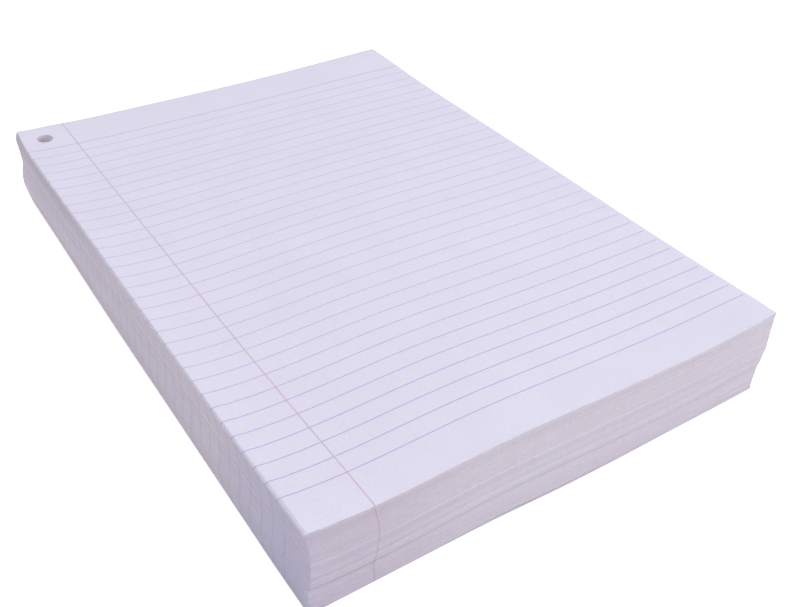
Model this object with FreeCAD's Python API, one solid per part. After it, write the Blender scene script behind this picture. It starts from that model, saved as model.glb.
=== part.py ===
import FreeCAD, Part
import math
import os

Vector = FreeCAD.Vector

# A ream of loose A4 ruled paper: five hundred punched sheets in one pile that isn't quite squared up.
# Millimetres. +X is to the page's right, +Y to its head and +Z up. The origin is the middle of the
# bottom sheet, on the surface that the ream lies on.

# Sheets
sheet_width = 210.0
sheet_length = 297.0
sheet_thickness = 0.0844

# Filing hole, drilled through the whole pile. Its place is taken from the top sheet's edges.
hole_diameter = 7.6
hole_from_left = 11.2
hole_from_head = 13.0

# Ruling printed on the top sheet. Distances from the head and the left are to a line's middle. Ink has
# no thickness of its own: ink_height is what shows as a line on the wavy page.
header_from_head = 24.4
margin_from_left = 23.6
feint_pitch = 8.0
foot_blank = 16.0
feint_width = 0.3
margin_width = 0.35
feint_stop = 2.0
ink_height = 0.2
ink_clearance = 0.02

# The pile from the bottom up: a piece is a run of sheets that lie together, with a step in the
# pile's sides where the next piece begins. Each row of a piece is one course of it: how many of its
# sheets lie below, how far it has slid to the right and back of the bottom sheet, and its turn in
# degrees.
pile = [
    ("bottom_sheets", [
        (0, 0.0, 0.0, 0.0),
        (20, 0.0, 0.0, 0.0),
    ]),
    ("lower_sheets", [
        (0, -0.7, -0.3, 0.3),
        (80, -1.0, -0.5, 0.3),
        (140, -0.9, -0.45, 0.35),
    ]),
    ("middle_sheets", [
        (0, -0.8, -1.2, 0.4),
        (70, -0.6, -1.4, 0.4),
        (140, 0.2, -0.9, 0.3),
    ]),
    ("upper_sheets", [
        (0, 0.25, -0.75, 0.3),
        (75, 0.0, -0.8, 0.25),
        (150, -0.7, -1.4, 0.1),
        (188, -1.0, -2.3, 0.0),
    ]),
    ("top_sheets", [
        (0, -1.3, -3.2, 0.0),
        (12, -1.3, -3.2, 0.0),
    ]),
]

# The paper's gentle waves: rise, middle from the left edge, middle from the foot, half width
# and half length of each swell. They fade out over the lowest sheets, which the pile holds flat. The
# corners at the right curl most a little way in from the edge.
curl_from_right = 15.0
swells = [
    (1.2, 0.0, 110.0, 6.0, 400.0),
    (-1.4, 30.0, 125.0, 33.0, 110.0),
    (1.8, 75.0, 0.0, 42.0, 85.0),
    (-0.3, 160.0, 15.0, 24.0, 35.0),
    (-1.0, 175.0, 65.0, 69.0, 65.0),
    (0.6, 120.0, 140.0, 40.0, 55.0),
    (1.6, sheet_width - curl_from_right, sheet_length, 54.0, 35.0),
    (1.3, 0.0, 0.0, 22.0, 27.0),
    (1.3, sheet_width - curl_from_right, 0.0, 12.0, 20.0),
    (-0.6, 70.0, 240.0, 68.0, 55.0),
    (0.6, 15.0, sheet_length, 12.0, 35.0),
]
flat_sheets = 125

# Working sizes: how far the wavy cutting surfaces run past the page, and their grid
surface_margin = 8.0
grid_across = 20
grid_along = 20
grid_bias = 1.6
line_spans = 20
reach = 6.0


def sheets_in(piece):
    """Number of sheets in a piece of the pile."""
    courses = piece[1]
    return courses[-1][0]


pile_sheets = sum(sheets_in(piece) for piece in pile)
pile_height = pile_sheets * sheet_thickness
top_courses = pile[-1][1]
top_right = top_courses[-1][1]
top_back = top_courses[-1][2]
page_left = top_right - sheet_width / 2
page_foot = top_back - sheet_length / 2
page_head = page_foot + sheet_length
page_right = page_left + sheet_width
line_count = int((sheet_length - header_from_head - foot_blank) / feint_pitch)


def wave(x, y):
    """Rise of a free sheet above a flat one."""
    rise = 0.0
    for height, across, along, half_width, half_length in swells:
        dx = (x - page_left - across) / half_width
        dy = (y - page_foot - along) / half_length
        rise += height * math.exp(-dx * dx - dy * dy)
    return rise


def freedom(sheets_below):
    """Share of the wave that a sheet takes: none at the bottom, all of it above the flat sheets."""
    pressed = max(0.0, 1.0 - sheets_below / flat_sheets)
    return 1.0 - pressed * pressed


def free_height(x, y, sheets_below):
    """Height of the sheet that has that many below it, at one place."""
    return sheets_below * sheet_thickness + freedom(sheets_below) * wave(x, y)


def across_at(share):
    """Place across the page, with the places closest together at the left edge, where it curls most."""
    left = page_left - surface_margin
    return left + (sheet_width + 2 * surface_margin) * share ** grid_bias


def space_over(sheets_below):
    """Solid that fills everything above the wavy surface on top of that many sheets."""
    foot = page_foot - surface_margin
    length = sheet_length + 2 * surface_margin
    rows = []
    for i in range(grid_across + 1):
        x = across_at(i / grid_across)
        row = []
        for j in range(grid_along + 1):
            y = foot + length * j / grid_along
            row.append(Vector(x, y, free_height(x, y, sheets_below)))
        rows.append(row)
    surface = Part.BSplineSurface()
    surface.interpolate(rows)
    return surface.toShape().extrude(Vector(0, 0, pile_height + 2 * reach))


def outline(right, back, turn, z):
    """Outline of one sheet, slid and turned, at height z."""
    sheet = Part.makePolygon([
        Vector(-sheet_width / 2, -sheet_length / 2, 0),
        Vector(sheet_width / 2, -sheet_length / 2, 0),
        Vector(sheet_width / 2, sheet_length / 2, 0),
        Vector(-sheet_width / 2, sheet_length / 2, 0),
        Vector(-sheet_width / 2, -sheet_length / 2, 0),
    ])
    sheet.rotate(Vector(0, 0, 0), Vector(0, 0, 1), turn)
    sheet.translate(Vector(right, back, z))
    return sheet


def leaning_block(courses, sheets_below):
    """Block with the piece's leaning sides, which runs on past its top and, off the floor, its foot."""
    first = courses[0]
    last = courses[-1]
    foot = sheets_below * sheet_thickness
    head = (sheets_below + last[0]) * sheet_thickness
    wires = []
    if sheets_below > 0:
        wires.append(outline(first[1], first[2], first[3], foot - reach))
    for count, right, back, turn in courses[:-1]:
        z = (sheets_below + count) * sheet_thickness
        wires.append(outline(right, back, turn, z))
    wires.append(outline(last[1], last[2], last[3], head + reach))
    return Part.makeLoft(wires, True, True)


def filing_hole():
    """Straight hole through the pile, at its place in the top sheet."""
    centre = Vector(page_left + hole_from_left, page_head - hole_from_head, -reach)
    return Part.makeCylinder(hole_diameter / 2, pile_height + 3 * reach, centre)


def printed_line(start, end, width):
    """Printed line as a thin solid that follows the top sheet from start to end, given as (x, y)."""
    dx = end[0] - start[0]
    dy = end[1] - start[1]
    length = math.hypot(dx, dy)
    side = Vector(-dy / length * width, dx / length * width, 0)
    points = []
    for i in range(line_spans + 1):
        share = (i / line_spans) ** grid_bias
        x = start[0] + dx * share
        y = start[1] + dy * share
        points.append(Vector(x, y, free_height(x, y, pile_sheets) + ink_clearance) - side * 0.5)
    curve = Part.BSplineCurve()
    curve.interpolate(points)
    return curve.toShape().extrude(side).extrude(Vector(0, 0, ink_height))


def feint_lines():
    """The feint lines, which bleed off the left edge, break at the margin and stop short at the right."""
    lines = []
    x = page_left + margin_from_left
    half = margin_width / 2
    for number in range(1, line_count + 1):
        y = page_head - header_from_head - number * feint_pitch
        lines.append(printed_line((page_left, y), (x - half, y), feint_width))
        lines.append(printed_line((x + half, y), (page_right - feint_stop, y), feint_width))
    return Part.makeCompound(lines)


def margin_lines():
    """The head line, and the margin in two lengths that end on it."""
    half = margin_width / 2
    y = page_head - header_from_head
    x = page_left + margin_from_left
    return Part.makeCompound([
        printed_line((page_left, y), (page_right, y), margin_width),
        printed_line((x, page_head), (x, y + half), margin_width),
        printed_line((x, y - half), (x, page_foot), margin_width),
    ])


def build_pile():
    """Every run of sheets as one solid, by name."""
    pieces = {}
    hole = filing_hole()
    sheets_below = 0
    under = None
    for name, courses in pile:
        block = leaning_block(courses, sheets_below)
        if under:
            block = block.common(under)
        sheets_below += courses[-1][0]
        under = space_over(sheets_below)
        pieces[name] = block.cut(under).cut(hole)
    return pieces


def main():
    os.makedirs("parts", exist_ok=True)
    pieces = build_pile()
    pieces["feint_lines"] = feint_lines()
    pieces["margin_lines"] = margin_lines()
    for name, shape in pieces.items():
        shape.exportStep("parts/" + name + ".step")
        print(name, len(shape.Solids), "solids", round(shape.Volume, 1), "mm3, valid", shape.isValid())


main()
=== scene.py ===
"""Ream of loose A4 ruled paper on a pale floor. Every sheet of the pile is a thin solid of its own.

Lengths are in millimetres, with the origin in the middle of the bottom sheet. They are turned into
metres for Blender, and what is only Blender's is in metres: noise, floor, lights and camera.
"""
import math

import bpy
import numpy as np
from mathutils import Matrix, Vector


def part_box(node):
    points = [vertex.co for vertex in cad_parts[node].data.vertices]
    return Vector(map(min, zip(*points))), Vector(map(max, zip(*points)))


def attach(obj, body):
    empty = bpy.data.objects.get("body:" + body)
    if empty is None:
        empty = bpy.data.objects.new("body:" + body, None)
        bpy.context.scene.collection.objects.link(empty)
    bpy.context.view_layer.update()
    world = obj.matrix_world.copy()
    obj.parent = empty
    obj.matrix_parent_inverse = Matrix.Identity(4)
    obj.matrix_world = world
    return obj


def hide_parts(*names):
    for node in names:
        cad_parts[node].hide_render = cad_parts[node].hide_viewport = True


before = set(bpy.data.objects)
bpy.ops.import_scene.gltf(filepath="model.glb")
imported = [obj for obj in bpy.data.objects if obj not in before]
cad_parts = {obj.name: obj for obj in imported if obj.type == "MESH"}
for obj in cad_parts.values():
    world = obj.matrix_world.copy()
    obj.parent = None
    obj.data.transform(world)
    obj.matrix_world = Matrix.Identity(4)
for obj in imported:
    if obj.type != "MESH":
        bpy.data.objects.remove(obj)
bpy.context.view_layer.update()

MM = 0.001
rng = np.random.default_rng(11)

# ------------------------------------------------------------------ the pile, with part.py's values
sheet_thickness = 0.0844
hole_diameter = 7.6
hole_from_left = 11.2
hole_from_head = 13.0
header_from_head = 24.4
margin_from_left = 23.6
feint_pitch = 8.0
foot_blank = 16.0
feint_stop = 2.0

# How wide the printed lines look on a page, and the marks that they leave on a cut edge
print_width = 0.45
head_print_width = 0.58
blue_mark = 0.9
red_mark = 0.5

# The pile from the bottom up. Each row of a run is one course of it: how many of its sheets lie below,
# its slide to the right and back, and its turn in degrees. They follow the pile a little more closely
# than part.py's. The top page lies on them all, where the last course ends.
pile = [
    ("bottom_sheets", [
        (0, 0.0, 0.0, 0.0),
        (20, 0.0, 0.0, 0.0),
    ]),
    ("lower_sheets", [
        (0, -0.7, -0.3, 0.3),
        (80, -1.0, -0.5, 0.3),
        (140, -0.9, -0.45, 0.35),
    ]),
    ("middle_sheets", [
        (0, -0.88, -1.2, 0.37),
        (70, -0.6, -1.4, 0.4),
        (140, 0.22, -0.82, 0.3),
    ]),
    ("upper_sheets", [
        (0, 0.22, -0.82, 0.3),
        (75, 0.0, -0.8, 0.25),
        (150, -0.7, -1.4, 0.1),
        (168, -0.9, -2.2, 0.0),
        (188, -1.15, -2.95, 0.0),
    ]),
    ("top_sheets", [
        (0, -2.1, -3.35, 0.0),
        (6, -2.0, -3.3, 0.0),
        (11, -1.3, -3.2, 0.0),
    ]),
]
top_slide = pile[-1][1][-1][1:]
pile_sheets = sum(courses[-1][0] for _, courses in pile) + 1
top_number = pile_sheets - 1

page_low, page_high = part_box("top_sheets")
page_left = round(page_low.x / MM, 3)
page_foot = round(page_low.y / MM, 3)
sheet_width = round((page_high.x - page_low.x) / MM, 3)
sheet_length = round((page_high.y - page_low.y) / MM, 3)
line_count = int((sheet_length - header_from_head - foot_blank) / feint_pitch)
head_line = sheet_length - header_from_head
feint_rows = [head_line - number * feint_pitch for number in range(1, line_count + 1)]

# The paper's waves: rise, middle from the left edge, middle from the foot, half width and half length of
# each swell. They fade out over the lowest sheets.
curl_from_right = 15.0
swells = [
    (1.2, 0.0, 110.0, 6.0, 400.0),
    (-1.4, 30.0, 125.0, 33.0, 110.0),
    (1.8, 75.0, 0.0, 42.0, 85.0),
    (-0.3, 160.0, 15.0, 24.0, 35.0),
    (-1.0, 175.0, 65.0, 69.0, 65.0),
    (0.6, 120.0, 140.0, 40.0, 55.0),
    (1.6, sheet_width - curl_from_right, sheet_length, 54.0, 35.0),
    (1.3, 0.0, 0.0, 22.0, 27.0),
    (1.3, sheet_width - curl_from_right, 0.0, 12.0, 20.0),
    (-0.6, 70.0, 240.0, 68.0, 55.0),
    (0.6, 15.0, sheet_length, 12.0, 35.0),
]
flat_sheets = 125

# Swells that the solids leave out: the corners at the right curl up a little.
curls = [
    (-0.9, sheet_width - curl_from_right, 0.0, 12.0, 20.0),
    (0.6, sheet_width, 0.0, 24.0, 14.0),
    (1.3, sheet_width, sheet_length, 18.0, 14.0),
    (0.35, sheet_width - 28.0, sheet_length, 22.0, 25.0),
]

# At the left of the foot the lowest sheets have come off the floor: how far, the places from the left
# edge where that starts to lessen and where it ends, its reach from the foot, and the number of sheets
# over which it fades out.
foot_lift = 1.3
lift_full = 68.0
lift_ends = 114.0
lift_depth = 18.0
lift_sheets = 300

# How a sheet fits its neighbours: the share of its thickness that is filled, how far its upper side
# stays below the next sheet's place and how far its under side bites into the sheet below. Away from its
# edges and its hole it sags, which keeps it from poking through the page: how far, the width in from the
# edge over which that begins, and the number of the lowest sheets over which it comes in.
sheet_fill = 0.97
sheet_gap = 0.002
bite = 0.01
sag = 0.25
sag_within = 15.0
sag_sheets = 60

# Where handling has pulled the sheets out of square: the place on a sheet, how far round it that reaches,
# and for some sheets, counted from below, how far they are pulled to the right and back there.
pulls = [
    (sheet_width, 0.0, 30.0, [
        (0, 0.2, 0.0), (145, 0.3, 0.0), (160, -1.0, 0.0), (180, -0.35, 0.0), (220, -0.25, 0.0),
        (250, 0.5, 0.0), (310, 0.4, 0.0), (370, 0.1, 0.0), (430, -0.3, 0.0), (460, 0.0, 0.0),
    ]),
    (sheet_width, 0.0, 14.0, [(0, 0.0, 0.3), (60, 0.0, 0.2), (145, 0.0, 0.0)]),
    (sheet_width, 0.0, 11.0, [
        (430, 0.0, 0.0), (460, -0.55, 0.3), (470, -0.9, 0.55), (487, -0.9, 0.9), (499, -0.9, 1.1),
    ]),
    (sheet_width, sheet_length, 13.0, [(0, -1.6, 0.0)]),
    (0.0, sheet_length, 95.0, [
        (19, 1.15, 0.0), (20, 2.0, 0.0), (40, 1.7, 0.0), (70, 1.2, 0.0), (100, 0.9, 0.0),
        (130, 0.4, 0.0), (160, 0.0, 0.0),
    ]),
    (0.0, sheet_length, 16.0, [
        (160, 0.1, 0.0), (200, 0.1, 0.0), (280, 0.6, 0.0), (340, 0.4, 0.0), (400, 0.1, 0.0),
        (430, 0.0, 0.0), (470, 0.45, 0.0), (488, 0.0, 0.0),
    ]),
    (0.0, sheet_length, 12.0, [
        (470, 0.0, 0.0), (487, 0.8, 0.0), (488, 2.0, 0.0), (494, 1.9, 0.0), (499, 1.2, 0.0),
    ]),
    (0.0, 100.0, 160.0, [(0, 0.42, 0.0), (50, 0.42, 0.0), (110, 0.0, 0.0)]),
    (0.0, 0.0, 45.0, [(498, 0.0, 0.0), (499, 0.4, 0.0)]),
    (128.0, 0.0, 34.0, [(0, 0.0, -0.45), (8, 0.0, -0.45), (20, 0.0, 0.0)]),
]

# Runs of sheets that show as lines on the foot side: first and last, how far they stand back, and their
# tone at four places across. These tones are painted shade and light: darker lines stand for the shadow
# under runs that overhang and in the gap at the lifted foot, lighter ones for light caught by ledges.
strata_places = (20.0, 85.0, 130.0, 200.0)
shaded_strata = [
    (9, 13, 0.0, (0.0, -1.8, 0.0, 0.0)),
    (15, 31, 0.0, (0.1, 0.7, 0.2, 0.1)),
    (33, 43, 0.0, (-0.1, -0.4, -0.35, -0.1)),
    (44, 62, 0.0, (-0.25, -0.15, -0.1, -0.1)),
    (82, 97, 0.02, (-0.3, -0.3, -0.2, 0.1)),
    (98, 104, 0.0, (0.0, 0.0, 0.3, 0.2)),
    (105, 114, -0.02, (0.3, 0.35, 0.35, 0.1)),
    (122, 137, -0.02, (0.5, 0.6, 0.5, 0.2)),
    (143, 152, 0.03, (-1.0, -0.85, -0.7, -0.6)),
    (160, 168, 0.02, (-0.9, -0.7, -0.4, -0.1)),
    (194, 203, -0.02, (0.45, 0.25, 0.1, -0.15)),
    (211, 223, 0.03, (-0.7, -0.65, -0.5, -0.3)),
    (231, 243, 0.0, (0.3, 0.2, 0.1, 0.0)),
    (256, 281, 0.0, (-0.25, -0.25, -0.2, 0.0)),
    (287, 297, -0.02, (1.0, 1.1, 0.9, 0.7)),
    (321, 332, 0.0, (-0.3, -0.3, -0.2, -0.2)),
    (363, 373, 0.0, (0.3, 0.3, 0.3, 0.2)),
    (408, 430, 0.0, (-0.4, -0.4, -0.35, -0.35)),
    (448, 466, 0.0, (-0.3, -0.25, -0.2, -0.1)),
    (472, 487, 0.0, (0.5, 0.3, 0.0, 0.2)),
]

# The tone of the other three sides, by sheet, and the share of a sheet's own tone that shows there
side_tones = [
    (0, -0.6), (100, -0.6), (158, -0.1), (162, 0.15), (170, 0.0), (220, 0.1), (280, 0.15), (297, 0.3),
    (303, -0.1), (340, -0.3), (499, -0.5),
]
side_share = 0.3

# A painted shade darkens those sides towards the head, high in the pile: by how much, from which distance
# from the foot and over which length, and the sheets between which it comes in.
head_shade = 1.0
shade_from = 170.0
shade_within = 60.0
shade_sheets = (320, 400)

# How far the printed margin is from its place on the foot side, by sheet, and how near the margin a
# point has to be to move with it
margin_drift = [
    (0, 0.7), (130, 0.55), (159, 0.7), (160, 0.25), (205, 0.6), (305, 1.13), (355, 1.12), (405, 0.75),
    (455, 0.5), (488, 0.3), (499, 0.0),
]
drift_reach = 1.0


def wave(x, y):
    """Rise of a free sheet above a flat one."""
    rise = 0.0
    for height, across, along, half_width, half_length in swells + curls:
        dx = (x - page_left - across) / half_width
        dy = (y - page_foot - along) / half_length
        rise = rise + height * np.exp(-dx * dx - dy * dy)
    return rise


def under_side(x, y, sheets_below):
    """Height of the under side of the sheet that has that many below it."""
    pressed = max(0.0, 1.0 - sheets_below / flat_sheets)
    loose = max(0.0, 1.0 - sheets_below / lift_sheets)
    share = np.clip((lift_ends - (x - page_left)) / (lift_ends - lift_full), 0, 1)
    from_foot = (y - page_foot) / lift_depth
    lift = foot_lift * share * share * (3 - 2 * share) * np.exp(-(from_foot ** 2))
    rise = (1.0 - pressed * pressed) * wave(x, y) + loose * lift
    return sheets_below * sheet_thickness + rise


# ------------------------------------------------------------------ flat layouts of a sheet
# Places on a sheet are rounded to so many decimals. Closer than same_place they are one, and an edge's
# extra point is at least least_apart from its ends.
decimals = 4
same_place = 1e-6
least_apart = 1e-4

# What a face shows, which is also its material's number in sheet_materials. EDGE plus an ink is a cut
# edge with that ink's mark on it.
BARE = 0
BLUE = 1
RED = 2
EDGE = 3
HOLE = 6


def side_at(x, y):
    """Side that a place on the sheet's edge is on: 0 for the foot, 1 right, 2 head and 3 left."""
    return [y < same_place, x > sheet_width - same_place, y > sheet_length - same_place, True].index(True)


def way_round(x, y):
    """How far round the sheet a place on its edge is, from the lower left corner."""
    half = sheet_width + sheet_length
    return (x, sheet_width + y, half + sheet_width - x, 2 * half - y)[side_at(x, y)]


def ink_at(x, y, feint=print_width, margin=print_width, header=head_print_width):
    """The ink at a place on the sheet, with feint lines, margin and head line of those widths."""
    if abs(y - head_line) < header / 2 or abs(x - margin_from_left) < margin / 2:
        return RED
    if x < sheet_width - feint_stop and any(abs(y - row) < feint / 2 for row in feint_rows):
        return BLUE
    return BARE


def pairs(loop):
    """Each point of a loop with the one after it."""
    return zip(loop, loop[1:] + loop[:1])


class Layout:
    """A flat sheet cut into faces: its points, from the lower left corner, the faces and the ink on each,
    and two loops of points, round the sheet and round its hole."""

    def __init__(self, columns, rows, edge_points, hole_points, ink=False):
        self.index = {}
        self.points = []
        self.faces = []
        self.inks = []
        hole = (hole_from_left, sheet_length - hole_from_head)
        turn = 2 * math.pi / hole_points
        ring = [
            (
                hole[0] + hole_diameter / 2 * math.cos(turn * i),
                hole[1] + hole_diameter / 2 * math.sin(turn * i),
            )
            for i in range(hole_points)
        ]
        for i in range(len(columns) - 1):
            for j in range(len(rows) - 1):
                x0, x1, y0, y1 = columns[i], columns[i + 1], rows[j], rows[j + 1]
                sides = [
                    self.side((x0, y0), (x1, y0), edge_points if j == 0 else []),
                    self.side((x1, y0), (x1, y1), edge_points if i == len(columns) - 2 else []),
                    self.side((x1, y1), (x0, y1), edge_points if j == len(rows) - 2 else []),
                    self.side((x0, y1), (x0, y0), edge_points if i == 0 else []),
                ]
                if x0 < hole[0] < x1 and y0 < hole[1] < y1:
                    self.round_hole(sum(sides, []), ring, hole)
                else:
                    kind = ink_at((x0 + x1) / 2, (y0 + y1) / 2) if ink else BARE
                    for face in self.cell(sides):
                        self.faces.append([self.point(p) for p in face])
                        self.inks.append(kind)
        outer = [(x, y) for x in columns for y in (0, sheet_length)]
        outer += [(x, y) for x in (0, sheet_width) for y in rows]
        self.loops = [self.walk(outer + edge_points), [self.point(p) for p in reversed(ring)]]

    def point(self, place):
        """Number of the point at a place, which is added if it is new."""
        key = (round(place[0], decimals), round(place[1], decimals))
        if key not in self.index:
            self.index[key] = len(self.points)
            self.points.append(key)
        return self.index[key]

    @staticmethod
    def side(start, end, extras):
        """The side's start, and the extra points on it, in order; the end isn't part of it."""
        found = []
        length = math.dist(start, end)
        for p in extras:
            before, after = math.dist(start, p), math.dist(p, end)
            if abs(before + after - length) < same_place and min(before, after) > least_apart:
                found.append((before, p))
        return [start] + [p for _, p in sorted(set(found))]

    @staticmethod
    def cell(sides):
        """One face, or where a side has extra points a fan of faces from the cell's inner corners."""
        full = [k for k in range(4) if len(sides[k]) > 1]
        if not full:
            return [sum(sides, [])]
        first = 3 if full == [0, 3] else full[0]
        edge = sides[first] + sides[(first + 1) % 4][:1]
        far, near = sides[(first + 2) % 4][0], sides[(first + 3) % 4][0]
        if len(full) == 2:
            edge = sides[first] + sides[(first + 1) % 4] + [far]
            return [[p, q, near] for p, q in zip(edge, edge[1:])]
        half = len(edge) // 2
        faces = [[p, q, near if k < half else far] for k, (p, q) in enumerate(zip(edge, edge[1:]))]
        return faces + [[edge[half], far, near]]

    def walk(self, places):
        """The outer edge's points, in order round the sheet."""
        order = []
        for _, number in sorted((way_round(*p), self.point(p)) for p in set(places)):
            if number not in order:
                order.append(number)
        return order

    def round_hole(self, outline, ring, hole):
        """Faces between a cell's outline and the hole in it."""
        def angle(p):
            """Direction of a place from the hole's middle, from 0 to a full turn."""
            return math.atan2(p[1] - hole[1], p[0] - hole[0]) % (2 * math.pi)

        outline = sorted(outline, key=angle)
        count = len(ring)
        near = [round(angle(p) / (2 * math.pi) * count) % count for p in outline]
        for k, place in enumerate(outline):
            after = (k + 1) % len(outline)
            steps = (near[after] - near[k]) % count
            arc = [(near[k] + s) % count for s in range(steps + 1)]
            face = [self.point(place), self.point(outline[after])]
            face += [self.point(ring[a]) for a in reversed(arc)]
            if len(face) > 2:
                self.faces.append(face)
                self.inks.append(BARE)


def spaced(start, end, most):
    """Places from start to end, evenly spaced, at most that far apart."""
    count = max(1, math.ceil((end - start) / most - same_place))
    return [start + (end - start) * i / count for i in range(count + 1)]


def between(marks, most):
    """The marks, with more places between them so that none are further apart than most."""
    places = set()
    marks = sorted(marks)
    for a, b in zip(marks, marks[1:]):
        places.update(round(p, decimals) for p in spaced(a, b, most))
    return sorted(places)


def both_sides(middle, width):
    """The two places that bound a line of that width."""
    return [middle - width / 2, middle + width / 2]


ink_rows = [y for row in feint_rows for y in both_sides(row, print_width)]
head_rows = both_sides(head_line, head_print_width)
margin_columns = both_sides(margin_from_left, print_width)
mark_rows = [y for row in feint_rows for y in both_sides(row, blue_mark)]
head_marks = both_sides(head_line, red_mark)
mark_columns = both_sides(margin_from_left, red_mark)

# The cell that holds the hole
hole_cell_left = 3.0
hole_cell_right = 18.0
hole_cell_foot = sheet_length - 23.0
hole_cell_head = sheet_length - 5.5

# Extra points on the edges. They are closest together at the bends: the right of the foot, the left of
# the head, and both ends of the right side.
foot_bend_from = 180
head_bend_to = 36
right_bend_to = 50
right_bend_from = 230
foot_points = between([0, foot_bend_from] + mark_columns, 7.0) + spaced(foot_bend_from, sheet_width, 3.5)
head_points = between([0, head_bend_to] + mark_columns, 3.5) + spaced(head_bend_to, sheet_width, 10.0)
left_points = between([0, sheet_length] + mark_rows + head_marks, 40.0)
right_points = spaced(0, right_bend_to, 6.0) + spaced(right_bend_to, right_bend_from, 18.0)
right_points += between([right_bend_from, sheet_length] + head_marks, 8.0)
edge_points = [(x, 0) for x in foot_points] + [(x, sheet_length) for x in head_points]
edge_points += [(0, y) for y in left_points] + [(sheet_width, y) for y in right_points]
edge_points = sorted({(round(x, decimals), round(y, decimals)) for x, y in edge_points})

# A sheet inside the pile, and one near its top, whose ruling may show
plain_columns = [0, hole_cell_left, hole_cell_right, 30, 50, 75, 100, 125, 150, 172, 190, 202, sheet_width]
plain_rows = [0, 5, 16, 35, 60, 90, 120, 150, 180, 210, 235, 256]
plain_rows += [hole_cell_foot, hole_cell_head, sheet_length]
plain_layout = Layout(plain_columns, plain_rows, edge_points, hole_points=16)
printed_columns = sorted(plain_columns + margin_columns + [sheet_width - feint_stop])
printed_rows = sorted(ink_rows + head_rows + [0, 5, hole_cell_foot, hole_cell_head, sheet_length])
printed_layout = Layout(printed_columns, printed_rows, edge_points, hole_points=24, ink=True)

# The top page, in small cells that follow its waves, smallest at the left edge where it curls most, with
# one larger square cell that holds the hole
hole_cell_size = 9.6
page_cell_width = 3.2
page_cell_length = 2.7
rim_cell_width = 1.1
rim_marks = [0, 8, sheet_width - feint_stop, sheet_width]
hole_columns = both_sides(hole_from_left, hole_cell_size)
hole_rows = both_sides(sheet_length - hole_from_head, hole_cell_size)
page_columns = between(rim_marks + hole_columns + margin_columns, page_cell_width)
page_columns += [round(x, decimals) for x in spaced(0, hole_columns[0], rim_cell_width)]
page_columns = sorted({x for x in page_columns if not hole_columns[0] < x < hole_columns[1]})
page_rows = between([0, sheet_length] + hole_rows + ink_rows + head_rows, page_cell_length)
page_rows = [y for y in page_rows if not hole_rows[0] < y < hole_rows[1]]
page_layout = Layout(page_columns, page_rows, [], hole_points=48)
ruled_layout = Layout(page_columns, page_rows, [], hole_points=48, ink=True)


# ------------------------------------------------------------------ sheets from a layout
def placed(layout, number, slide, hole_shift=(0, 0)):
    """The layout's points where that sheet lies. Its hole stays in line with the top one."""
    right, back, turn = slide
    flat = np.array(layout.points)
    x = flat[:, 0] - sheet_width / 2
    y = flat[:, 1] - sheet_length / 2
    drift = np.interp(number, *zip(*margin_drift))
    x = x + drift * ((flat[:, 1] < same_place) & (abs(flat[:, 0] - margin_from_left) < drift_reach))
    for across, along, reach, table in pulls:
        near = np.exp(-((flat[:, 0] - across) ** 2 + (flat[:, 1] - along) ** 2) / reach ** 2)
        counts, rights, backs = zip(*table)
        x = x + near * np.interp(number, counts, rights)
        y = y + near * np.interp(number, counts, backs)
    c, s = math.cos(math.radians(turn)), math.sin(math.radians(turn))
    x, y = x * c - y * s + right, x * s + y * c + back
    ring = layout.loops[1]
    x[ring] = flat[ring, 0] + page_left + hole_shift[0]
    y[ring] = flat[ring, 1] + page_foot + hole_shift[1]
    return x, y


def heights(layout, number, x, y):
    """Heights of a sheet's under side and upper side at the layout's points."""
    low = under_side(x, y, number)
    high = np.minimum(low + sheet_fill * sheet_thickness, under_side(x, y, number + 1) - sheet_gap)
    if number < top_number:
        flat = np.array(layout.points)
        from_edge = np.minimum(flat, (sheet_width, sheet_length) - flat).min(axis=1)
        inner = np.minimum(1.0, from_edge / sag_within)
        inner[layout.loops[1]] = 0
        drop = inner * sag * min(1.0, number / sag_sheets)
        low = low - drop
        high = high - drop
    return np.maximum(low - bite, 0.0), high


def edge_tones(layout, number, tone):
    """Tone of a sheet's edge at the layout's points: its own tone with painted lines of shade and light on
    the foot side, and on the others a tone by sheet with a painted shade towards the head.
    """
    across, along = np.array(layout.points).T
    on_foot = tone + sum(
        np.interp(across, strata_places, shades)
        for first, last, _, shades in shaded_strata if first <= number <= last
    )
    shaded = np.interp(number, shade_sheets, (0, 1)) * np.clip((along - shade_from) / shade_within, 0, 1)
    on_side = side_share * tone + np.interp(number, *zip(*side_tones)) - head_shade * shaded
    return np.where(along < same_place, on_foot, on_side)


def solid(layout):
    """Faces of one sheet and what each shows: its under side, its upper side and its edges."""
    count = len(layout.points)
    faces = [list(reversed(f)) for f in layout.faces] + [[v + count for v in f] for f in layout.faces]
    kinds = [BARE] * len(layout.faces) + list(layout.inks)
    outer, ring = layout.loops
    for a, b in [*pairs(outer), *pairs(ring)]:
        faces.append([a, b, b + count, a + count])
    for a, b in pairs(outer):
        x = (layout.points[a][0] + layout.points[b][0]) / 2
        y = (layout.points[a][1] + layout.points[b][1]) / 2
        kinds.append(EDGE + ink_at(x, y, blue_mark, red_mark, red_mark))
    kinds += [HOLE] * len(ring)
    return faces, kinds


# Where a piece's finish goes in the picture that it is baked to, which is 1 by 1. First the lower left
# corner and the scale of the sheets' upper sides, and then of their under sides. In a stack, both share
# one small place, for they hardly show. Then the bands for the edges, one for each side and one for the
# hole, with a row for each sheet: the lowest band's foot and the height of a band. The last three values
# are the scale along a band, the share of its height that is filled, and the hole's band.
stack_map = ((0.2, 0.91, 1 / 3600), (0.2, 0.91, 1 / 3600), 0.0, 0.18)
page_map = ((0.0, 0.0, 1 / 315), (0.72, 0.0, 1 / 1500), 0.96, 0.008)
band_scale = 1 / 300
band_fill = 0.94
hole_band = 4


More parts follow.
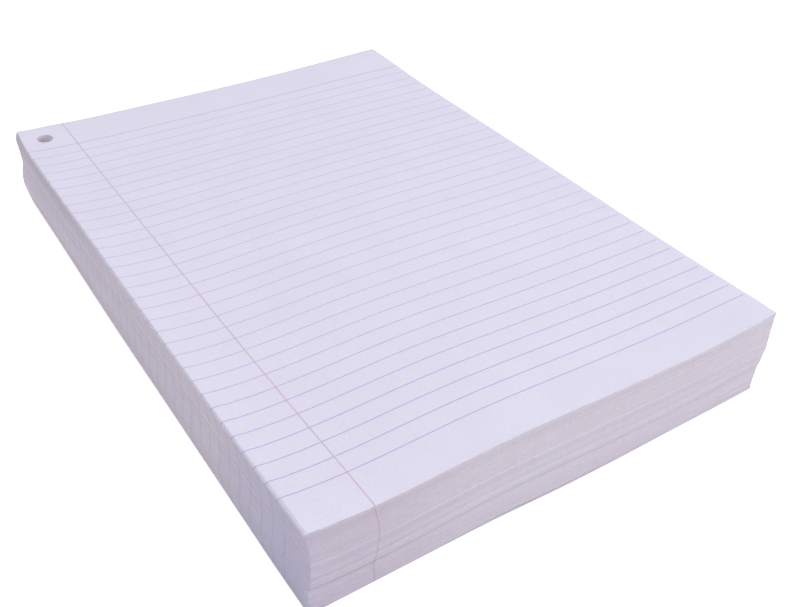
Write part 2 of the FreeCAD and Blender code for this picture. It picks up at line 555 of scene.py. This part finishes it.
def bake_places(layout, count, upper, under, bands, tall):
    """Place of every face corner of that many sheets in the picture that the finish is baked to."""
    row = band_fill * tall / count

    def strip(start, end, low):
        """One face of an edge, as its corners' places and the step to the next sheet's."""
        start, end = start * band_scale, end * band_scale
        return [(start, low, row), (end, low, row), (end, low + row, row), (start, low + row, row)]

    spots = []
    turned = [list(reversed(f)) for f in layout.faces]
    for faces, (left, low, scale) in ((turned, under), (layout.faces, upper)):
        for v in sum(faces, []):
            x, y = layout.points[v]
            spots.append((left + x * scale, low + y * scale, 0.0))
    for a, b in pairs(layout.loops[0]):
        (ax, ay), (bx, by) = layout.points[a], layout.points[b]
        side = side_at((ax + bx) / 2, (ay + by) / 2)
        start, end = (ax, bx) if side in (0, 2) else (ay, by)
        spots += strip(start, end, bands + side * tall)
    for k in range(len(layout.loops[1])):
        spots += strip(k, k + 1, bands + hole_band * tall)
    spots = np.array(spots)
    places = np.tile(spots[:, :2], (count, 1))
    places[:, 1] += np.repeat(np.arange(count), len(spots)) * np.tile(spots[:, 2], count)
    return places


def new_object(name, data):
    """New object, put into the scene."""
    made = bpy.data.objects.new(name, data)
    bpy.context.scene.collection.objects.link(made)
    return made


sharp_from = math.radians(35)


def make_sheets(name, layout, sheets, materials, is_page=False):
    """One object of several sheets, each as its number from below, its slide, its hole's and its tone."""
    faces, kinds = solid(layout)
    sizes = [len(f) for f in faces]
    corners = np.concatenate(faces)
    places = []
    tones = []
    for number, slide, hole_shift, tone in sheets:
        x, y = placed(layout, number, slide, hole_shift)
        low, high = heights(layout, number, x, y)
        places += [np.column_stack([x, y, low]), np.column_stack([x, y, high])]
        tones += [edge_tones(layout, number, tone)] * 2
    places = np.concatenate(places)
    tones = np.concatenate(tones)
    count = len(sheets)
    mesh = bpy.data.meshes.new(name)
    mesh.vertices.add(len(places))
    mesh.vertices.foreach_set("co", (places * MM).astype(np.float32).ravel())
    mesh.loops.add(count * len(corners))
    steps = np.repeat(np.arange(count) * 2 * len(layout.points), len(corners))
    mesh.loops.foreach_set("vertex_index", (np.tile(corners, count) + steps).astype(np.int32))
    mesh.polygons.add(count * len(sizes))
    starts = np.concatenate([[0], np.cumsum(np.tile(sizes, count))[:-1]])
    mesh.polygons.foreach_set("loop_start", starts.astype(np.int32))
    mesh.polygons.foreach_set("material_index", np.tile(kinds, count).astype(np.int32))
    smooth = [is_page and kind < EDGE for kind in kinds]
    mesh.polygons.foreach_set("use_smooth", np.tile(smooth, count))
    mesh.update(calc_edges=True)
    spots = bake_places(layout, count, *(page_map if is_page else stack_map))
    mesh.uv_layers.new(name="OFBake").data.foreach_set("uv", spots.astype(np.float32).ravel())
    mesh.validate()
    mesh.attributes.new("tone", "FLOAT", "POINT").data.foreach_set("value", tones.astype(np.float32))
    for material in materials:
        mesh.materials.append(material)
    if is_page:
        mesh.set_sharp_from_angle(angle=sharp_from)
    return new_object(name, mesh)


# The ink on the top page: its thickness, and how far it lies over the page
ink_height = 0.015
ink_clearance = 0.002


def make_ruling(name, layout, ink, material):
    """Ink on the top page: a thin closed skin on the layout's cells of that ink."""
    x, y = placed(layout, top_number, top_slide)
    low = under_side(x, y, top_number) + sheet_fill * sheet_thickness + ink_clearance
    cells = [f for f, kind in zip(layout.faces, layout.inks) if kind == ink]
    used = sorted({v for f in cells for v in f})
    to_new = {v: i for i, v in enumerate(used)}
    count = len(used)
    points = [(x[v] * MM, y[v] * MM, low[v] * MM) for v in used]
    points += [(x[v] * MM, y[v] * MM, (low[v] + ink_height) * MM) for v in used]
    faces = [[to_new[v] for v in reversed(f)] for f in cells]
    faces += [[to_new[v] + count for v in f] for f in cells]
    edges = [edge for f in cells for edge in pairs(f)]
    known = set(edges)
    for a, b in edges:
        if (b, a) not in known:
            faces.append([to_new[a], to_new[b], to_new[b] + count, to_new[a] + count])
    mesh = bpy.data.meshes.new(name)
    mesh.from_pydata(points, [], faces)
    mesh.shade_flat()
    mesh.materials.append(material)
    scale = page_map[0][2]
    corners = [points[v] for f in faces for v in f]
    spots = np.array([(px / MM - page_left, py / MM - page_foot) for px, py, _ in corners]) * scale
    mesh.uv_layers.new(name="OFBake").data.foreach_set("uv", spots.astype(np.float32).ravel())
    return new_object(name, mesh)


# ------------------------------------------------------------------ materials
# Numbers of a mix node's sockets for colours
MIX_FIRST = 6
MIX_SECOND = 7
MIX_RESULT = 2


def new_material(name, colour, roughness, specular=0.3):
    """Material with a plain paper shader, its node tree and the shader."""
    material = bpy.data.materials.new(name)
    material.use_nodes = True
    shader = material.node_tree.nodes["Principled BSDF"]
    shader.inputs["Base Color"].default_value = (*colour, 1)
    shader.inputs["Roughness"].default_value = roughness
    shader.inputs["Specular IOR Level"].default_value = specular
    return material, material.node_tree, shader


def add(tree, kind, inputs=None, **settings):
    """Node of that kind, whose inputs are each a value or another node's output."""
    node = tree.nodes.new(kind)
    for key, value in settings.items():
        setattr(node, key, value)
    for key, value in (inputs or {}).items():
        if isinstance(value, bpy.types.NodeSocket):
            tree.links.new(value, node.inputs[key])
        else:
            node.inputs[key].default_value = value
    return node


def object_place(tree):
    """The place on the piece, in metres."""
    return add(tree, "ShaderNodeTexCoord").outputs["Object"]


def object_axis(tree, axis):
    """The place on the piece along one axis, in metres."""
    return add(tree, "ShaderNodeSeparateXYZ", {"Vector": object_place(tree)}).outputs[axis]


def noise(tree, scale, detail, stretch=(1, 1, 1)):
    """Noise over the piece, in cycles per metre."""
    mapping = add(tree, "ShaderNodeMapping", {"Vector": object_place(tree), "Scale": stretch})
    inputs = {"Vector": mapping.outputs["Vector"], "Scale": scale, "Detail": detail}
    return add(tree, "ShaderNodeTexNoise", inputs).outputs["Fac"]


def between_colours(tree, factor, low, high, dark, light):
    """dark where factor is low and light where it is high. dark may come from another node."""
    spread = add(
        tree, "ShaderNodeMapRange", {"Value": factor, "From Min": low, "From Max": high}, clamp=True
    )
    if not isinstance(dark, bpy.types.NodeSocket):
        dark = (*dark, 1)
    inputs = {"Factor": spread.outputs["Result"], MIX_FIRST: dark, MIX_SECOND: (*light, 1)}
    return add(tree, "ShaderNodeMix", inputs, data_type="RGBA").outputs[MIX_RESULT]


def mottled(tree, scale, detail, dark, light, spread=0.2, stretch=(1, 1, 1)):
    """From dark to light by noise, over its middle values to that spread each way."""
    factor = noise(tree, scale, detail, stretch)
    return between_colours(tree, factor, 0.5 - spread, 0.5 + spread, dark, light)


def multiply(tree, a, b):
    """Product of two colours."""
    inputs = {"Factor": 1.0, MIX_FIRST: a, MIX_SECOND: b}
    return add(tree, "ShaderNodeMix", inputs, data_type="RGBA", blend_type="MULTIPLY").outputs[MIX_RESULT]


def tinted(colour, share):
    """A lighter or darker colour."""
    return tuple(c * share for c in colour)


def grey(share):
    """A colour without tint."""
    return (share, share, share)


def page_material(name, colour):
    """Uncoated paper: fine fibres and a cloudy formation."""
    material, tree, shader = new_material(name, colour, 0.85)
    cloud = mottled(tree, 60, 3, tinted(colour, 0.985), tinted(colour, 1.012))
    grain = mottled(tree, 1100, 3, (0.965, 0.965, 0.972), (1.02, 1.02, 1.016))
    tree.links.new(multiply(tree, cloud, grain), shader.inputs["Base Color"])
    bump = add(
        tree, "ShaderNodeBump", {"Height": noise(tree, 2600, 4), "Strength": 0.12, "Distance": 0.0002}
    )
    tree.links.new(bump.outputs["Normal"], shader.inputs["Normal"])
    return material


# Noise stretched along the sheets, which shows as layers, and down the pile, which shows as knife marks
layers = (0.12, 0.12, 1)
knife_marks = (1, 1, 0.1)

# A painted shade darkens the near left corner at the foot of the pile: its middle, how far round it
# reaches, its shape, twice as tall as it is wide, and between which places across its bluer colour on the
# left side turns into its colour on the foot side
shaded_corner = ((page_left + 0.3) * MM, (page_foot + 9.7) * MM, 2.0 * MM)
corner_shade_reach = 65.0 * MM
corner_shade_shape = (1, 1, 0.5)
corner_tint_from = (page_left + 0.8) * MM
corner_tint_to = (page_left + 6.3) * MM

# Across the hole, the places between which a painted shade on its wall, darkest at the left, gives way to
# its full colour, and the strength of a painted glow that stands in for the light that comes through the
# paper there
hole_middle = page_left + hole_from_left
hole_dark_to = (hole_middle - 3.4) * MM
hole_light_from = (hole_middle + 1.6) * MM
hole_painted_glow = 0.1

# Along the page, the places between which the ink turns from its own colour to the one at the head
fade_from = (page_foot + 36.7) * MM
fade_to = (page_foot + 106.7) * MM


def edge_material(name, colour):
    """Cut edge: each sheet has its own tone, to which the tone attribute adds painted shade and light, the
    knife left faint marks from top to bottom, the layers differ a little in tint, and a painted shade
    darkens the near left corner at the foot."""
    material, tree, shader = new_material(name, colour, 0.95, 0.2)
    tone = add(tree, "ShaderNodeAttribute", attribute_name="tone", attribute_type="GEOMETRY").outputs["Fac"]
    # The tone attribute holds each sheet's own tone together with the painted shade and light of the foot
    # side's lines and the painted shade towards the head.
    shade = between_colours(tree, tone, -2.0, 1.0, tinted(colour, 0.73), tinted(colour, 1.12))
    knife = mottled(tree, 700, 2, (0.98, 0.98, 0.985), grey(1.01), stretch=knife_marks)
    speckle = mottled(tree, 1100, 2, grey(0.94), grey(1.04))
    tint = mottled(tree, 350, 2, (1.0, 0.975, 0.985), (0.98, 1.0, 1.0), 0.15, layers)
    shaped = add(
        tree, "ShaderNodeVectorMath", {0: object_place(tree), 1: corner_shade_shape}, operation="MULTIPLY"
    ).outputs["Vector"]
    away = add(
        tree, "ShaderNodeVectorMath", {0: shaped, 1: shaded_corner}, operation="DISTANCE"
    ).outputs["Value"]
    across = object_axis(tree, "X")
    corner_shade_colour = between_colours(tree, across, corner_tint_from, corner_tint_to, (0.78, 0.82, 0.96), (0.85, 0.83, 0.88))
    corner_shade = between_colours(tree, away, 0.0, corner_shade_reach, corner_shade_colour, grey(1.0))
    for part in (knife, speckle, tint, corner_shade):
        shade = multiply(tree, shade, part)
    tree.links.new(shade, shader.inputs["Base Color"])
    return material


def punched_material(name, colour):
    """Wall of the hole, in a lighter colour with a painted glow for the light that comes through the paper,
    and a painted shade at its left.
    """
    material, tree, shader = new_material(name, colour, 0.95, 0.2)
    across = object_axis(tree, "X")
    shade = between_colours(tree, across, hole_dark_to, hole_light_from, tinted(colour, 0.65), colour)
    shade = multiply(tree, shade, mottled(tree, 350, 2, (0.93, 0.92, 0.93), grey(1.0), 0.15, layers))
    tree.links.new(shade, shader.inputs["Base Color"])
    tree.links.new(shade, shader.inputs["Emission Color"])
    shader.inputs["Emission Strength"].default_value = hole_painted_glow
    return material


def ink_material(name, colour, at_head):
    """Thin printing ink, uneven where the fibres took less of it, and of another colour at the head."""
    material, tree, shader = new_material(name, colour, 0.8)
    ink = between_colours(tree, object_axis(tree, "Y"), fade_from, fade_to, colour, at_head)
    uneven = mottled(tree, 900, 3, grey(0.93), grey(1.08))
    tree.links.new(multiply(tree, ink, uneven), shader.inputs["Base Color"])
    return material


page_colour = (0.622, 0.606, 0.726)
edge_colour = (0.557, 0.509, 0.578)
blue_edge_colour = (0.462, 0.433, 0.549)
red_edge_colour = (0.49, 0.37, 0.47)
# The hole's wall gets a lighter copy of the cut edge's colour: painted light for the light that reaches
# into the hole.
lit_hole_colour = (0.80, 0.74, 0.82)
blue_colour = (0.405, 0.388, 0.645)
blue_at_head = (0.462, 0.444, 0.672)
red_colour = (0.553, 0.395, 0.552)
red_at_head = tinted(red_colour, 0.97)

paper = page_material("paper", page_colour)
cut_edge = edge_material("cut_edge", edge_colour)
blue_ink = ink_material("blue_ink", blue_colour, blue_at_head)
red_ink = ink_material("red_ink", red_colour, red_at_head)
blue_edge = edge_material("cut_edge_blue", blue_edge_colour)
red_edge = edge_material("cut_edge_red", red_edge_colour)
punched_edge = punched_material("punched_edge", lit_hole_colour)
sheet_materials = [paper, blue_ink, red_ink, cut_edge, blue_edge, red_edge, punched_edge]


# ------------------------------------------------------------------ the sheets
def slide_at(courses, number):
    """Slide and turn of one sheet in a run."""
    counts = [c[0] for c in courses]
    return [float(np.interp(number, counts, [c[k] for c in courses])) for k in (1, 2, 3)]


def dress(piece, node):
    """Put a piece under the root and hide the imported part that it stands in for."""
    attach(piece, "root")
    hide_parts(node)


# How unevenly the sheets lie. They were put down in hands of several at once: the least and the most in
# a hand, and how much the hands vary in slide, turn in degrees and place of the hole. Then how much single
# sheets vary in slide and tone, and the top page's tone.
hand_least = 6
hand_most = 21
hand_slide = 0.015
hand_twist = 0.004
hand_hole_slide = 0.1
sheet_slide = 0.01
sheet_tone = 0.12
page_tone = 0.3

hand_steps = []
while sum(hand_steps) < pile_sheets:
    hand_steps.append(int(rng.integers(hand_least, hand_most + 1)))
hands = len(hand_steps)
hand_of = np.repeat(np.arange(hands), hand_steps)[:pile_sheets]
hand_shift = rng.normal(0, hand_slide, (hands, 2))
hand_turn = rng.normal(0, hand_twist, hands)
hand_hole = rng.normal(0, hand_hole_slide, (hands, 2))
own_shift = rng.normal(0, sheet_slide, (pile_sheets, 2))
own_tone = rng.normal(0, sheet_tone, pile_sheets)
set_back = np.zeros(pile_sheets)
for first, last, depth, _ in shaded_strata:
    set_back[first:last + 1] = depth

# A piece has no more sheets than this, which keeps it below 200,000 triangles.
most_sheets = 100
number = 0
for run, courses in pile:
    sheets = []
    for i in range(courses[-1][0]):
        right, back, turn = slide_at(courses, i)
        hand = hand_of[number]
        right += hand_shift[hand][0] + own_shift[number][0]
        back += hand_shift[hand][1] + own_shift[number][1] + set_back[number]
        turn += hand_turn[hand]
        sheets.append((number, (right, back, turn), hand_hole[hand], own_tone[number]))
        number += 1
    layout = printed_layout if run == "top_sheets" else plain_layout
    parts = math.ceil(len(sheets) / most_sheets)
    for part in range(parts):
        share = sheets[len(sheets) * part // parts:len(sheets) * (part + 1) // parts]
        label = "loose_" + run + ("_%d" % (part + 1) if parts > 1 else "")
        dress(make_sheets(label, layout, share, sheet_materials), run)

page_sheet = (top_number, top_slide, (0, 0), page_tone)
dress(make_sheets("top_page", page_layout, [page_sheet], sheet_materials, True), "top_sheets")
dress(make_ruling("feint_ruling", ruled_layout, BLUE, blue_ink), "feint_lines")
dress(make_ruling("margin_ruling", ruled_layout, RED, red_ink), "margin_lines")

# ------------------------------------------------------------------ floor, lights and camera, in metres
floor_reach = 6.0
floor_drop = 0.0001
floor_colour = (0.9, 0.9, 0.9)
floor_glow = 0.42
floor_mesh = bpy.data.meshes.new("floor")
floor_corners = [(x * floor_reach, y * floor_reach, 0) for x, y in ((-1, -1), (1, -1), (1, 1), (-1, 1))]
floor_mesh.from_pydata(floor_corners, [], [(0, 1, 2, 3)])
floor_material, _, floor_shader = new_material("floor", floor_colour, 0.9, 0.1)
floor_shader.inputs["Emission Color"].default_value = (1, 1, 1, 1)
floor_shader.inputs["Emission Strength"].default_value = floor_glow
floor_mesh.materials.append(floor_material)
floor = new_object("floor", floor_mesh)
floor.location.z = -floor_drop

# Square soft lights that face the ream: size, power and place
lights = {
    "overhead": (4.0, 96.5, (0.0, 0.0, 2.6)),
    "right": (1.2, 20.8, (1.4, -1.0, 0.8)),
    "left": (2.0, 15.7, (-2.0, 0.2, 1.2)),
    "front": (1.2, 2.0, (0.5, -1.6, 0.7)),
}
for name, (size, power, place) in lights.items():
    light_data = bpy.data.lights.new(name, "AREA")
    light_data.size = size
    light_data.energy = power
    light = new_object(name, light_data)
    light.location = place
    light.rotation_mode = "QUATERNION"
    light.rotation_quaternion = Vector(place).to_track_quat("Z", "Y")

# A pale background that only the camera sees
sky_glow = 0.45
world = bpy.data.worlds.new("world")
bpy.context.scene.world = world
world.use_nodes = True
world.node_tree.nodes["Background"].inputs["Color"].default_value = (1, 1, 1, 1)
world.node_tree.nodes["Background"].inputs["Strength"].default_value = sky_glow
for rays in ("diffuse", "glossy", "transmission", "scatter"):
    setattr(world.cycles_visibility, rays, False)

# The camera's place, and its turn round the ream, its height over the floor and its slight roll as angles
camera_place = (-0.19048, -0.31749, 0.26654)
azimuth = math.radians(-34.459)
elevation = math.radians(36.702)
roll = math.radians(2.115)
camera_back = Vector((
    math.sin(azimuth) * math.cos(elevation),
    -math.cos(azimuth) * math.cos(elevation),
    math.sin(elevation),
))
level_right = (-camera_back).cross(Vector((0, 0, 1))).normalized()
level_up = level_right.cross(-camera_back)
camera_right = math.cos(roll) * level_right + math.sin(roll) * level_up
camera_up = -math.sin(roll) * level_right + math.cos(roll) * level_up
camera_data = bpy.data.cameras.new("camera")
camera_data.sensor_width = 36.0
camera_data.lens = 43.6176
camera_data.shift_x = 0.0021
camera_data.clip_start = 0.01
camera_data.clip_end = 50.0
camera = new_object("camera", camera_data)
camera_rows = zip(camera_right, camera_up, camera_back, camera_place)
camera.matrix_world = Matrix((*camera_rows, (0, 0, 0, 1)))
bpy.context.scene.camera = camera
bpy.context.scene.view_settings.view_transform = "Standard"
